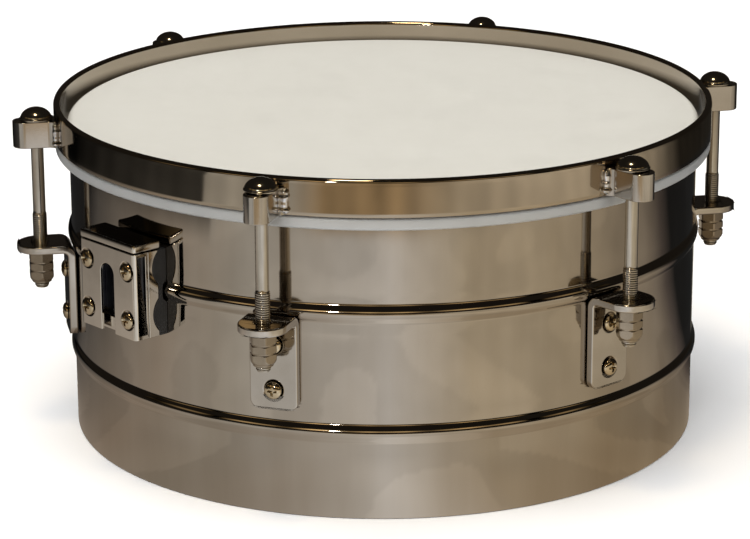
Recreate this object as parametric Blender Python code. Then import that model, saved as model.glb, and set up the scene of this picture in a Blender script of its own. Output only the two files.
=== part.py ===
"""A single-headed, open-bottomed timbale drum in polished steel, 14 in across and 7 in deep.

Metres, +Z up, origin on the drum's axis at its bottom edge. Lengths below are in millimetres and
are scaled once, in add_object. A piece that belongs to one place on the wall is drawn as if that
place faced -Y (x along the wall, -y outward, z up) and then turned about Z by its azimuth.
"""
import math

import bpy
import bmesh

MM = 0.001
GAP = 0.3

# Turned pieces
RING_STEPS = 60
SHELL_R = 177.8
WALL = 1.2
SHELL_TOP = 178.0
BEARING_R = 3.0
LIP_R = 172.0
FOOT_R = 171.5
BEAD_HEIGHT = 2.2
BEAD_HALF = 4.75
BEAD_LEVELS = (48.0, 114.0)
FILM = 0.5
FILM_SKIRT_END = 163.5
FLESH_OUT = 185.5
FLESH_LOW = 161.4
FLESH_TOP = 168.0
HOOP_IN = 181.9
HOOP_OUT = 186.0
HOOP_LOW = 168.3
HOOP_TOP = 188.8

# Six tuning places, 60 degrees apart
LUG_AZIMUTHS = (-15.0, 45.0, 105.0, 165.0, -135.0, -75.0)
ROD_CIRCLE = 196.5
ROD_SHANK = 3.55
ROD_THREAD = 4.0
THREAD_TOP = 130.4
ROD_END = 86.6
ROD_BORE = 4.45
EAR_LOW = 168.6
EAR_TOP = 183.6
EAR_HALF = 7.0
EAR_REACH = 6.2
EAR_FOOT_HALF = 9.3
EAR_FOOT_LONG = 4.7
DOME_TOP = 190.7
DOME_R = 9.15
NUT_FLATS = 13.0
NUT_CORNER = 7.35
NUT_GROOVE = 6.85
NUT_BORE = 4.35
NUT_LOW = 89.7
NUT_GROOVE_LEVELS = (96.9, 101.7)
PLATE = 4.5
TAB_TOP = 113.0
TAB_LOW = TAB_TOP - PLATE
LEG_IN = SHELL_R + GAP
LEG_OUT = LEG_IN + PLATE
LEG_END = 60.2
BEND_OUT = 7.0
BRACKET_HALF = 13.3
LEG_CORNER = 5.0
SCREW_LEVELS = (71.2, 96.2)
SCREW_HEAD = 4.75
SCREW_HEAD_HIGH = 2.8
SCREW_SHANK = 2.5
SCREW_HOLE = 3.0
BACKING_OUT = 175.8
BACKING_THICK = 2.5
BACKING_HALF = 10.0

# Rubber-isolated stand mount
MOUNT_AZIMUTH = -44.5
MOUNT_HALF = 23.8
MOUNT_LOW = 90.2
PAD_HALF = 23.6
PAD_FRONT = 181.7
BUMP_N = 173.1
BUMP_R = 12.4
MOUNT_BOLT_LEVELS = (102.2, 128.0)
CARRIER_BACK = 182.0
CARRIER_FRONT = 188.5
RIB_IN, RIB_OUT = 12.6, 20.8
FACE_BACK = 196.2
FACE_FRONT = 198.0
FACE_TOP = 138.0
SIDE_WALL = 1.8
WINDOW_NEAR = 190.3
WINDOW_LEVELS = (92.8, 135.9)
CAP_BACK = 180.2
CAP_TOP = 143.0
SLOT_HALF = 5.8
SLOT_TOP = 128.5
FACE_SCREW_T = 17.1
FACE_SCREW_LEVELS = (100.7, 127.7)


def clear_scene():
    for obj in list(bpy.data.objects):
        bpy.data.objects.remove(obj, do_unlink=True)


def make_collection(name, hidden=False):
    made = bpy.data.collections.new(name)
    bpy.context.scene.collection.children.link(made)
    made.hide_render = hidden
    return made


def make_material(name, colour, metallic, roughness):
    made = bpy.data.materials.new(name)
    made.use_nodes = True
    shader = made.node_tree.nodes["Principled BSDF"]
    shader.inputs["Base Color"].default_value = (*colour, 1.0)
    shader.inputs["Metallic"].default_value = metallic
    shader.inputs["Roughness"].default_value = roughness
    return made


def add_object(name, shape, material, collection=None, azimuth=0.0, origin=(0.0, 0.0)):
    """One closed body. shape is (points, faces) in mm; origin is its own (radius, height) on that azimuth."""
    points, faces = shape
    radius, height = origin
    mesh = bpy.data.meshes.new(name)
    mesh.from_pydata([(x * MM, (y + radius) * MM, (z - height) * MM) for x, y, z in points], [], faces)
    tidy = bmesh.new()
    tidy.from_mesh(mesh)
    bmesh.ops.recalc_face_normals(tidy, faces=tidy.faces)
    tidy.to_mesh(mesh)
    tidy.free()
    mesh.materials.append(material)
    made = bpy.data.objects.new(name, mesh)
    turn = math.radians(azimuth)
    made.rotation_euler.z = turn
    made.location = (radius * MM * math.sin(turn), -radius * MM * math.cos(turn), height * MM)
    (collection or PARTS).objects.link(made)
    return made


def add_cutter(name, shape, azimuth=0.0):
    made = add_object(name, shape, STEEL, CUTTERS, azimuth)
    made.hide_render = True
    made.display_type = "WIRE"
    return made


def cut(obj, tool, operation="DIFFERENCE"):
    step = obj.modifiers.new(operation.title() + " " + tool.name, "BOOLEAN")
    step.operation = operation
    step.solver = "EXACT"
    step.object = tool


def turned(profile, steps, phase=0.0):
    """A profile of (radius, height) turned about Z. One that starts and ends on the axis is capped there."""
    solid = profile[0][0] == 0.0
    ring = profile[1:-1] if solid else profile
    points = []
    for i in range(steps):
        angle = math.tau * (i + phase) / steps
        points += [(r * math.sin(angle), -r * math.cos(angle), z) for r, z in ring]
    count = len(ring)
    spans = count - 1 if solid else count
    faces = []
    for i in range(steps):
        here, there = i * count, (i + 1) % steps * count
        for k in range(spans):
            after = (k + 1) % count
            faces.append((here + k, here + after, there + after, there + k))
    if solid:
        points += [(0.0, 0.0, profile[0][1]), (0.0, 0.0, profile[-1][1])]
        for i in range(steps):
            here, there = i * count, (i + 1) % steps * count
            faces.append((len(points) - 2, here, there))
            faces.append((len(points) - 1, there + count - 1, here + count - 1))
    return points, faces


def outward(shape, along=0.0, level=0.0):
    """Lays a shape turned about Z down, so that its axis points out of the wall at this height."""
    points, faces = shape
    return [(x + along, -z, y + level) for x, y, z in points], faces


def on_rod_circle(shape):
    points, faces = shape
    return [(x, y - ROD_CIRCLE, z) for x, y, z in points], faces


def prism(outline, low, high):
    """A plan outline of (along, outward) raised between two heights."""
    count = len(outline)
    points = [(t, -n, low) for t, n in outline] + [(t, -n, high) for t, n in outline]
    faces = [tuple(range(count)), tuple(range(2 * count - 1, count - 1, -1))]
    faces += [(i, (i + 1) % count, (i + 1) % count + count, i + count) for i in range(count)]
    return points, faces


def plate(outline, near, far):
    """An outline of (along, height) given thickness outward."""
    count = len(outline)
    points = [(t, -near, z) for t, z in outline] + [(t, -far, z) for t, z in outline]
    faces = [tuple(range(count)), tuple(range(2 * count - 1, count - 1, -1))]
    faces += [(i, (i + 1) % count, (i + 1) % count + count, i + count) for i in range(count)]
    return points, faces


def box(half, near, far, low, high):
    return plate(((-half, low), (half, low), (half, high), (-half, high)), near, far)


def across(outline, half):
    """An outline of (outward, height) drawn out along the wall, both ways from its middle."""
    count = len(outline)
    points = [(-half, -n, z) for n, z in outline] + [(half, -n, z) for n, z in outline]
    faces = [tuple(range(count)), tuple(range(2 * count - 1, count - 1, -1))]
    faces += [(i, (i + 1) % count, (i + 1) % count + count, i + count) for i in range(count)]
    return points, faces


def both(*shapes):
    """Several bodies held as one cutter."""
    points, faces = [], []
    for more_points, more_faces in shapes:
        start = len(points)
        points += more_points
        faces += [tuple(start + i for i in face) for face in more_faces]
    return points, faces


def arc(centre, radius, start, end, steps):
    made = []
    for i in range(steps + 1):
        angle = math.radians(start + (end - start) * i / steps)
        made.append((centre[0] + radius * math.cos(angle), centre[1] + radius * math.sin(angle)))
    return made


def bead(level, radius, height, half, steps):
    """A raised bead in the wall, from its lower edge to its upper edge."""
    made = []
    for i in range(steps + 1):
        across = 2.0 * i / steps - 1.0
        made.append((radius + height * (1.0 - across * across), level + half * across))
    return made


def shell_shape():
    inside = SHELL_R - WALL
    centre = (SHELL_R - BEARING_R, SHELL_TOP - BEARING_R)
    outer = [(FOOT_R, 0.0), (SHELL_R - 0.8, 0.0), (SHELL_R, 0.8)]
    for level in BEAD_LEVELS:
        outer += bead(level, SHELL_R, BEAD_HEIGHT, BEAD_HALF, 4)
    outer += arc(centre, BEARING_R, 0.0, 90.0, 3)
    outer.append((LIP_R, SHELL_TOP))
    inner = [(LIP_R, SHELL_TOP - WALL)]
    inner += arc(centre, BEARING_R - WALL, 90.0, 0.0, 1)
    for level in reversed(BEAD_LEVELS):
        inner += reversed(bead(level, inside, BEAD_HEIGHT - 0.1, BEAD_HALF - 0.5, 2))
    inner += [(inside, WALL + 0.6), (inside - 0.6, WALL), (FOOT_R, WALL)]
    return turned(outer + inner, RING_STEPS, 0.5)


def film_shape():
    centre = (SHELL_R - BEARING_R, SHELL_TOP - BEARING_R)
    under = BEARING_R + GAP
    over = under + FILM
    top = SHELL_TOP + GAP + FILM
    profile = [(0.0, top)] + arc(centre, over, 90.0, 0.0, 4)
    profile += [(centre[0] + over, FILM_SKIRT_END), (centre[0] + under, FILM_SKIRT_END)]
    profile += arc(centre, under, 0.0, 90.0, 4) + [(0.0, top - FILM)]
    return turned(profile, RING_STEPS, 0.5)


def flesh_hoop_shape():
    inside = SHELL_R + GAP + FILM + GAP
    return turned(
        [
            (inside, FLESH_LOW),
            (FLESH_OUT - 1.4, FLESH_LOW),
            (FLESH_OUT - 0.3, FLESH_LOW + 1.0),
            (FLESH_OUT, FLESH_LOW + 2.6),
            (FLESH_OUT - 0.3, FLESH_TOP - 0.9),
            (FLESH_OUT - 1.0, FLESH_TOP),
            (inside, FLESH_TOP),
        ],
        RING_STEPS,
        0.5,
    )


def counter_hoop_shape():
    round_r = (HOOP_OUT - HOOP_IN) / 2.0
    middle = (HOOP_IN + round_r, HOOP_TOP - round_r)
    profile = [(HOOP_IN, HOOP_LOW), (HOOP_OUT - 0.5, HOOP_LOW), (HOOP_OUT, HOOP_LOW + 0.6)]
    profile += arc(middle, round_r, 0.0, 180.0, 4)
    return turned(profile, RING_STEPS, 0.5)


def ear_shape():
    """The lug that holds the rod: round outboard end, straight sides, and a foot spreading to the hoop."""
    foot = HOOP_OUT + GAP
    waist = foot + EAR_FOOT_LONG
    front = arc((0.0, ROD_CIRCLE + EAR_REACH), EAR_HALF, 0.0, 180.0, 8)
    outline = [(-EAR_HALF, waist), (-EAR_FOOT_HALF, foot), (EAR_FOOT_HALF, foot), (EAR_HALF, waist)]
    return prism(outline + front, EAR_LOW, EAR_TOP)


def rod_shape():
    """A dome-headed bolt: plain shank, then the thread's envelope."""
    under = EAR_TOP + GAP
    return turned(
        [
            (0.0, DOME_TOP),
            (0.44 * DOME_R, DOME_TOP - 0.6),
            (0.79 * DOME_R, DOME_TOP - 2.6),
            (DOME_R, under + 1.4),
            (DOME_R - 0.3, under),
            (ROD_SHANK, under),
            (ROD_SHANK, THREAD_TOP + 0.5),
            (ROD_THREAD, THREAD_TOP),
            (ROD_THREAD, ROD_END + 0.9),
            (3.1, ROD_END),
            (0.0, ROD_END),
        ],
        16,
    )


def nut_ring(corner, level):
    """A hexagon whose corners are cut square across at this distance from the axis."""
    along = (NUT_FLATS / 2.0 - corner * math.cos(math.radians(30.0))) / math.sin(math.radians(30.0))
    return hexagonal_ring(corner, along, level)


def hexagonal_ring(out, along, level):
    """Twelve points, two beside each of the six corner directions."""
    made = []
    for i in range(6):
        turn = math.tau * i / 6.0
        for side in (-1.0, 1.0):
            x = out * math.cos(turn) - side * along * math.sin(turn)
            y = out * math.sin(turn) + side * along * math.cos(turn)
            made.append((x, y, level))
    return made


def round_ring(radius, level):
    return hexagonal_ring(radius * math.cos(math.radians(15.0)), radius * math.sin(math.radians(15.0)), level)


def nut_shape():
    """A long hexagon nut with two grooves turned round its corners and a tapered lower end."""
    high = TAB_LOW - GAP
    rings = [round_ring(5.5, NUT_LOW), nut_ring(NUT_CORNER, NUT_LOW + 3.9)]
    for groove in NUT_GROOVE_LEVELS:
        rings += [nut_ring(NUT_CORNER, groove - 0.6), nut_ring(NUT_GROOVE, groove)]
        rings.append(nut_ring(NUT_CORNER, groove + 0.6))
    rings += [nut_ring(NUT_CORNER, high - 0.6), nut_ring(NUT_GROOVE, high)]
    rings += [round_ring(NUT_BORE, high), round_ring(NUT_BORE, NUT_LOW)]
    points = [point for ring in rings for point in ring]
    faces = []
    for k in range(len(rings)):
        here, after = 12 * k, 12 * ((k + 1) % len(rings))
        for i in range(12):
            j = (i + 1) % 12
            faces.append((here + i, here + j, after + j, after + i))
    return on_rod_circle((points, faces))


def bracket_shape():
    """A strip bent to an L: round end about the rod, bend, leg down the wall with rounded corners."""
    tip = ROD_CIRCLE + BRACKET_HALF
    stations = []
    for angle in (12.0, 28.0, 46.0, 66.0, 90.0):
        turn = math.radians(angle)
        reach = ROD_CIRCLE + BRACKET_HALF * math.cos(turn)
        stations.append(((reach, TAB_TOP), (reach, TAB_LOW), BRACKET_HALF * math.sin(turn)))
    stations[0] = ((tip, TAB_TOP), (tip, TAB_LOW), stations[0][2])
    centre = (LEG_IN + BEND_OUT, TAB_TOP - BEND_OUT)
    outside = arc(centre, BEND_OUT, 90.0, 180.0, 5)
    inside = arc(centre, BEND_OUT - PLATE, 90.0, 180.0, 5)
    for outer, inner in zip(outside, inside):
        stations.append((outer, inner, BRACKET_HALF))
    for angle in (0.0, 30.0, 60.0, 90.0):
        turn = math.radians(angle)
        level = LEG_END + LEG_CORNER * (1.0 - math.sin(turn))
        half = BRACKET_HALF - LEG_CORNER * (1.0 - math.cos(turn))
        stations.append(((LEG_IN, level), (LEG_OUT, level), half))
    points = []
    for outer, inner, half in stations:
        for n, z in (outer, inner):
            points += [(-half, -n, z), (half, -n, z)]
    last = 4 * (len(stations) - 1)
    faces = [(0, 1, 3, 2), (last, last + 2, last + 3, last + 1)]
    for i in range(len(stations) - 1):
        a, b = 4 * i, 4 * i + 4
        faces += [(a, b, b + 1, a + 1), (a + 2, a + 3, b + 3, b + 2)]
        faces += [(a, a + 2, b + 2, b), (a + 1, b + 1, b + 3, a + 3)]
    return points, faces


def round_head_screw(seat, tip, shank=SCREW_SHANK, head=SCREW_HEAD, high=SCREW_HEAD_HIGH):
    """A domed screw along Z, its head above the seat."""
    return turned(
        [
            (0.0, seat + high),
            (0.6 * head, seat + 0.8 * high),
            (head, seat),
            (shank, seat),
            (shank, tip),
            (0.0, tip),
        ],
        10,
    )


def wall_screw(level):
    return outward(round_head_screw(LEG_OUT + GAP, BACKING_OUT - BACKING_THICK - 1.0), 0.0, level)


def mount_bolt(level):
    """A bolt put through from inside the drum, its head against the backing plate."""
    seat = BACKING_OUT - BACKING_THICK - GAP
    profile = [
        (0.0, CARRIER_FRONT - 0.2),
        (SCREW_SHANK, CARRIER_FRONT - 0.2),
        (SCREW_SHANK, seat),
        (5.0, seat),
        (4.0, seat - 3.4),
        (0.0, seat - 3.6),
    ]
    return outward(turned(profile, 10), 0.0, level)


def bores(levels, radius, near, far, along=0.0):
    """Straight holes through the wall at these heights."""
    holes = []
    for level in levels:
        hole = turned([(0.0, far), (radius, far), (radius, near), (0.0, near)], 12)
        holes.append(outward(hole, along, level))
    return both(*holes)


def pad_shape():
    """The rubber pad between wall and carrier, with a half-round bump across it at each bolt."""
    reach = math.degrees(math.acos((PAD_FRONT - BUMP_N) / BUMP_R))
    outline = [(SHELL_R - 8.0, MOUNT_LOW), (PAD_FRONT, MOUNT_LOW)]
    for level in MOUNT_BOLT_LEVELS:
        outline += arc((BUMP_N, level), BUMP_R, -reach, reach, 8)
    outline += [(PAD_FRONT, FACE_TOP), (SHELL_R - 8.0, FACE_TOP)]
    return across(outline, PAD_HALF)


def wall_room():
    """The wall and its upper bead, with running room."""
    return turned(
        [(0.0, FACE_TOP + 5.0), (SHELL_R + GAP, FACE_TOP + 5.0), (SHELL_R + GAP, 120.5)]
        + [(SHELL_R + BEAD_HEIGHT + 0.6, 118.5), (SHELL_R + BEAD_HEIGHT + 0.6, 109.5)]
        + [(SHELL_R + GAP, 107.5), (SHELL_R + GAP, MOUNT_LOW - 5.0), (0.0, MOUNT_LOW - 5.0)],
        RING_STEPS,
        0.4,
    )


def carrier_shape():
    """Plan of the block behind the front plate, with a rib behind each column of screws."""
    right = [(MOUNT_HALF, CARRIER_BACK), (MOUNT_HALF, CARRIER_FRONT), (RIB_OUT, CARRIER_FRONT)]
    right += [(RIB_OUT, FACE_BACK - GAP), (RIB_IN, FACE_BACK - GAP), (RIB_IN, CARRIER_FRONT)]
    left = [(-t, n) for t, n in reversed(right)]
    return prism(right + left, MOUNT_LOW, FACE_TOP)


def carrier_ledge():
    return box(RIB_IN + 1.0, CARRIER_FRONT - 1.0, FACE_BACK - 2.2, MOUNT_LOW, MOUNT_LOW + 7.5)


def bump_room():
    """Room for the pad's bumps in the back of the carrier."""
    rounds = [arc((BUMP_N, level), BUMP_R + GAP, 0.0, 345.0, 23) for level in MOUNT_BOLT_LEVELS]
    return both(*(across(outline, 40.0) for outline in rounds))


def face_shape():
    """Plan of the front plate and the two side walls folded back from it."""
    inner = MOUNT_HALF - SIDE_WALL
    near = CARRIER_FRONT + GAP
    right = [(inner, near), (MOUNT_HALF, near), (MOUNT_HALF, FACE_FRONT)]
    left = [(-MOUNT_HALF, FACE_FRONT), (-MOUNT_HALF, near), (-inner, near)]
    return prism(right + left + [(-inner, FACE_BACK), (inner, FACE_BACK)], MOUNT_LOW, FACE_TOP)


def slot_room():
    """A slot up the middle of the front plate, open below and round above."""
    top = arc((0.0, SLOT_TOP - SLOT_HALF), SLOT_HALF, 0.0, 180.0, 8)
    outline = [(SLOT_HALF, MOUNT_LOW - 5.0)] + top + [(-SLOT_HALF, MOUNT_LOW - 5.0)]
    return plate(outline, FACE_BACK - 2.0, FACE_FRONT + 2.0)


def window_room():
    """A window through each side wall."""
    return box(MOUNT_HALF + 5.0, WINDOW_NEAR, FACE_BACK, *WINDOW_LEVELS)


def cap_shape():
    soft = 0.8
    outline = [
        (-MOUNT_HALF, CAP_BACK),
        (MOUNT_HALF, CAP_BACK),
        (MOUNT_HALF, FACE_FRONT - soft),
        (MOUNT_HALF - soft, FACE_FRONT),
        (soft - MOUNT_HALF, FACE_FRONT),
        (-MOUNT_HALF, FACE_FRONT - soft),
    ]
    return prism(outline, FACE_TOP + 0.5, CAP_TOP)


def backing_shape(half, low, high):
    return box(half, BACKING_OUT - BACKING_THICK, BACKING_OUT, low, high)


clear_scene()
PARTS = make_collection("timbale_drum")
CUTTERS = make_collection("cutters", hidden=True)
STEEL = make_material("nickel_plated_steel", (0.55, 0.50, 0.44), 1.0, 0.06)
BOLT_STEEL = make_material("nickel_plated_fastener", (0.60, 0.55, 0.47), 1.0, 0.12)
ALUMINIUM = make_material("satin_aluminium", (0.62, 0.61, 0.59), 1.0, 0.4)
COATED_FILM = make_material("coated_film", (0.72, 0.70, 0.62), 0.0, 0.55)
RUBBER = make_material("black_rubber", (0.02, 0.02, 0.02), 0.0, 0.7)
ZINC = make_material("zinc_plated_steel", (0.50, 0.51, 0.53), 1.0, 0.3)

shell = add_object("shell", shell_shape(), STEEL)
add_object("head_film", film_shape(), COATED_FILM)
add_object("flesh_hoop", flesh_hoop_shape(), ALUMINIUM)
add_object("counter_hoop", counter_hoop_shape(), STEEL)

for number, azimuth in enumerate(LUG_AZIMUTHS, start=1):
    on_rod = (ROD_CIRCLE, 0.0)
    rod_bore = add_cutter(
        f"cut_rod_bore_{number}",
        on_rod_circle(turned([(0.0, 200.0), (ROD_BORE, 200.0), (ROD_BORE, 80.0), (0.0, 80.0)], 16)),
        azimuth,
    )
    screw_bore = add_cutter(
        f"cut_screw_bores_{number}",
        bores(SCREW_LEVELS, SCREW_HOLE, 165.0, 190.0),
        azimuth,
    )
    ear = add_object(f"ear_{number}", ear_shape(), STEEL, azimuth=azimuth)
    cut(ear, rod_bore)
    bracket = add_object(f"bracket_{number}", bracket_shape(), STEEL, azimuth=azimuth)
    cut(bracket, rod_bore)
    cut(bracket, screw_bore)
    cut(shell, screw_bore)
    backing = add_object(
        f"backing_plate_{number}",
        backing_shape(BACKING_HALF, 61.0, 106.5),
        ZINC,
        azimuth=azimuth,
    )
    cut(backing, screw_bore)
    for place, level in zip(("low", "high"), SCREW_LEVELS):
        add_object(f"bracket_screw_{number}_{place}", wall_screw(level), BOLT_STEEL, azimuth=azimuth)

    add_object(f"tension_rod_{number}", on_rod_circle(rod_shape()), STEEL, azimuth=azimuth, origin=on_rod)
    add_object(f"tuning_nut_{number}", nut_shape(), STEEL, azimuth=azimuth, origin=on_rod)

bolt_bores = add_cutter("cut_bolt_bores", bores(MOUNT_BOLT_LEVELS, SCREW_HOLE, 165.0, 195.0), MOUNT_AZIMUTH)
cut(shell, bolt_bores)
mount_backing = add_object(
    "mount_backing_plate",
    backing_shape(BACKING_HALF, 92.0, 138.0),
    ZINC,
    azimuth=MOUNT_AZIMUTH,
)
cut(mount_backing, bolt_bores)
for place, level in zip(("low", "high"), MOUNT_BOLT_LEVELS):
    add_object(f"mount_bolt_{place}", mount_bolt(level), BOLT_STEEL, azimuth=MOUNT_AZIMUTH)

pad = add_object("mount_pad", pad_shape(), RUBBER, azimuth=MOUNT_AZIMUTH)
cut(pad, add_cutter("cut_wall_room", wall_room()))
cut(pad, bolt_bores)

carrier = add_object("mount_carrier", carrier_shape(), STEEL, azimuth=MOUNT_AZIMUTH)
cut(carrier, add_cutter("add_ledge", carrier_ledge(), MOUNT_AZIMUTH), "UNION")
cut(carrier, add_cutter("cut_bump_room", bump_room(), MOUNT_AZIMUTH))
cut(carrier, bolt_bores)
face = add_object("mount_face", face_shape(), STEEL, azimuth=MOUNT_AZIMUTH)
cut(face, add_cutter("cut_slot", slot_room(), MOUNT_AZIMUTH))
cut(face, add_cutter("cut_windows", window_room(), MOUNT_AZIMUTH))
add_object("mount_cap", cap_shape(), STEEL, azimuth=MOUNT_AZIMUTH)
for side, along in (("left", -FACE_SCREW_T), ("right", FACE_SCREW_T)):
    holes = add_cutter(
        f"cut_face_screws_{side}",
        bores(FACE_SCREW_LEVELS, 2.6, 189.0, 203.0, along),
        MOUNT_AZIMUTH,
    )
    cut(face, holes)
    cut(carrier, holes)
    for place, level in zip(("low", "high"), FACE_SCREW_LEVELS):
        screw = outward(round_head_screw(FACE_FRONT + GAP, 190.0, 2.2), along, level)
        add_object(f"face_screw_{side}_{place}", screw, BOLT_STEEL, azimuth=MOUNT_AZIMUTH)
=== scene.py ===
"""Looks for the timbale drum: detailed metal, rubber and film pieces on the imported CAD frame.

Lengths below are in millimetres and are scaled once, in new_mesh. A piece that belongs to one place
on the wall is drawn as if that place faced -Y (x along the wall, -y outward, z up), and its object
is then turned about Z by its azimuth, so every coordinate is still in the CAD frame.
"""
import math

import bmesh
import bpy
from mathutils import Matrix, Vector
from mathutils import noise as mottle


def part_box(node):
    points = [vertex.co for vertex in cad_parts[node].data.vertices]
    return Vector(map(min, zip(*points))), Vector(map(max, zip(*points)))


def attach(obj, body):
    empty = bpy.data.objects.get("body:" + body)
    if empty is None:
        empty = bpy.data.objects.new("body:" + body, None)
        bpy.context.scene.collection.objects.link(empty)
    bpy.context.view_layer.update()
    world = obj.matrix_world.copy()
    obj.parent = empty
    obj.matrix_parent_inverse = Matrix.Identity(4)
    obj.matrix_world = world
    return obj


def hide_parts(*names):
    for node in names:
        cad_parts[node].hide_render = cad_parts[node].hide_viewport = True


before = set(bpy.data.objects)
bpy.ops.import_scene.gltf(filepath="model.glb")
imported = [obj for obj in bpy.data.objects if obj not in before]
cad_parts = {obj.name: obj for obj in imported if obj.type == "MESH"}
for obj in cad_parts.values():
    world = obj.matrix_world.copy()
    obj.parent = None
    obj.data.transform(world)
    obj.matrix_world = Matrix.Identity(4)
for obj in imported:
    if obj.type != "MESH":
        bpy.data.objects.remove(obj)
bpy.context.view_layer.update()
MM = 0.001
CAD_STEPS = 60


def cad_radius(node):
    """Outer radius of a turned CAD node, whose flats sit half a step off the axes."""
    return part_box(node)[1].x / MM / math.cos(math.pi / CAD_STEPS)


def cad_levels(node):
    low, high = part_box(node)
    return low.z / MM, high.z / MM


# Turned pieces, from the CAD boxes
BEAD_HEIGHT = 2.2
BEAD_HALF = 4.75
BEAD_LEVELS = (48.0, 114.0)
SHELL_R = cad_radius("shell") - BEAD_HEIGHT
SHELL_TOP = cad_levels("shell")[1]
WALL = 1.2
BEARING_R = 3.0
LIP_R = 172.0
FOOT_R = 171.5
FILM = 0.5
FILM_TOP = cad_levels("head_film")[1]
FILM_SKIRT_END = cad_levels("head_film")[0]
FLESH_OUT = cad_radius("flesh_hoop")
FLESH_LOW, FLESH_TOP = cad_levels("flesh_hoop")
HOOP_OUT = cad_radius("counter_hoop")
HOOP_LOW, HOOP_TOP = cad_levels("counter_hoop")
HOOP_THICK = 4.1
RING_STEPS = 288

# The six tuning places
LUGS = ((1, -15.0), (2, 45.0), (3, 105.0), (4, 165.0), (5, -135.0), (6, -75.0))
ROD_CIRCLE = 196.5
ROD_SHANK = 3.55
ROD_THREAD = 4.0
BORE_R = 4.45
TAB_BORE_R = 4.6
ROD_ROOT = 3.3
PITCH = 1.25
THREAD_TOP = 130.4
ROD_END, DOME_TOP = cad_levels("tension_rod_1")
DOME_R = 9.15
EAR_LOW, EAR_TOP = cad_levels("ear_1")
EAR_HALF = 7.0
EAR_FOOT_HALF = 9.3
EAR_FOOT_LONG = 4.7
EAR_REACH = 6.2
NUT_LOW, NUT_TOP = cad_levels("tuning_nut_1")
NUT_FLAT = 6.5
NUT_CORNER = 7.35
NUT_GROOVE = 6.75
NUT_GROOVE_LEVELS = (96.9, 101.7)
LEG_END, TAB_TOP = cad_levels("bracket_1")
PLATE = 4.5
LEG_IN = SHELL_R + 0.3
LEG_OUT = LEG_IN + PLATE
BEND_OUT = 7.0
BRACKET_HALF = 13.3
LEG_CORNER = 5.0
SCREW_LEVELS = (("low", 71.2), ("high", 96.2))
SCREW_HEAD = 4.75
BACKING_IN, BACKING_OUT = 173.3, 175.8

# The stand mount: outward distances from the axis, heights, and half widths along the wall
MOUNT_AZIMUTH = -44.5
MOUNT_HALF = 23.8
MOUNT_LOW, MOUNT_TOP = cad_levels("mount_carrier")
CAP_LOW, CAP_TOP = cad_levels("mount_cap")
CAP_BACK = 180.2
PAD_HALF = 23.6
PAD_FRONT = 181.7
BUMP_N = 173.1
BUMP_R = 12.4
MOUNT_BOLTS = (("low", 102.2), ("high", 128.0))
CARRIER_BACK, CARRIER_FRONT = 182.0, 188.5
RIB_IN, RIB_OUT = 12.6, 20.8
FACE_BACK, FACE_FRONT = 196.2, 198.0
SIDE_WALL = 1.8
WINDOW_NEAR = 190.3
WINDOW_LOW, WINDOW_HIGH = 92.8, 135.9
SLOT_HALF = 5.8
SLOT_TOP = 128.5
FACE_SCREWS = (("left", -17.1), ("right", 17.1))
FACE_SCREW_LEVELS = (("low", 100.7), ("high", 127.7))


# ---------------------------------------------------------------- shapes: (points, faces) in mm

def arc(centre, radius, start, end, steps):
    made = []
    for i in range(steps + 1):
        angle = math.radians(start + (end - start) * i / steps)
        made.append((centre[0] + radius * math.cos(angle), centre[1] + radius * math.sin(angle)))
    return made


def turned(profile, steps):
    """A closed profile of (radius, height) turned about Z, capped where it meets the axis."""
    solid = profile[0][0] == 0.0
    ring = profile[1:-1] if solid else profile
    count = len(ring)
    points = []
    for i in range(steps):
        angle = math.tau * i / steps
        points += [(r * math.sin(angle), -r * math.cos(angle), z) for r, z in ring]
    faces = []
    for i in range(steps):
        here, there = i * count, (i + 1) % steps * count
        for k in range(count - 1 if solid else count):
            after = (k + 1) % count
            faces.append((here + k, here + after, there + after, there + k))
    if solid:
        points += [(0.0, 0.0, profile[0][1]), (0.0, 0.0, profile[-1][1])]
        for i in range(steps):
            here, there = i * count, (i + 1) % steps * count
            faces.append((len(points) - 2, here, there))
            faces.append((len(points) - 1, there + count - 1, here + count - 1))
    return points, faces


def pin(radius, low, high, steps):
    """A plain round bar about Z."""
    return turned([(0.0, high), (radius, high), (radius, low), (0.0, low)], steps)


def stacked(rings):
    """Closed rings of equal length joined one to the next, with a fan closing each end."""
    count = len(rings[0])
    points = [point for ring in rings for point in ring]
    faces = []
    for k in range(len(rings) - 1):
        for i in range(count):
            j = (i + 1) % count
            faces.append((k * count + i, k * count + j, (k + 1) * count + j, (k + 1) * count + i))
    faces.append(tuple(range(count - 1, -1, -1)))
    faces.append(tuple(range((len(rings) - 1) * count, len(rings) * count)))
    return points, faces


def prism(outline, low, high):
    """A plan outline of (along, outward) raised between two heights."""
    return stacked([[(t, -n, z) for t, n in outline] for z in (low, high)])


def plate(outline, near, far):
    """An outline of (along, height) given thickness outward."""
    return stacked([[(t, -n, z) for t, z in outline] for n in (near, far)])


def block(half, near, far, low, high):
    return plate(((-half, low), (half, low), (half, high), (-half, high)), near, far)


def across(outline, half):
    """An outline of (outward, height) drawn out along the wall, both ways from its middle."""
    return stacked([[(t, -n, z) for n, z in outline] for t in (-half, half)])


def moved(shape, along=0.0, outward=0.0, up=0.0):
    points, faces = shape
    return [(x + along, y - outward, z + up) for x, y, z in points], faces


def laid_outward(shape, along=0.0, level=0.0):
    """Lays a shape turned about Z down, so that its axis points out of the wall."""
    points, faces = shape
    return [(x + along, -z, y + level) for x, y, z in points], faces


def joined(*shapes):
    points, faces = [], []
    for more_points, more_faces in shapes:
        start = len(points)
        points += more_points
        faces += [tuple(start + i for i in face) for face in more_faces]
    return points, faces


# ---------------------------------------------------------------- meshes and pieces

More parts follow.
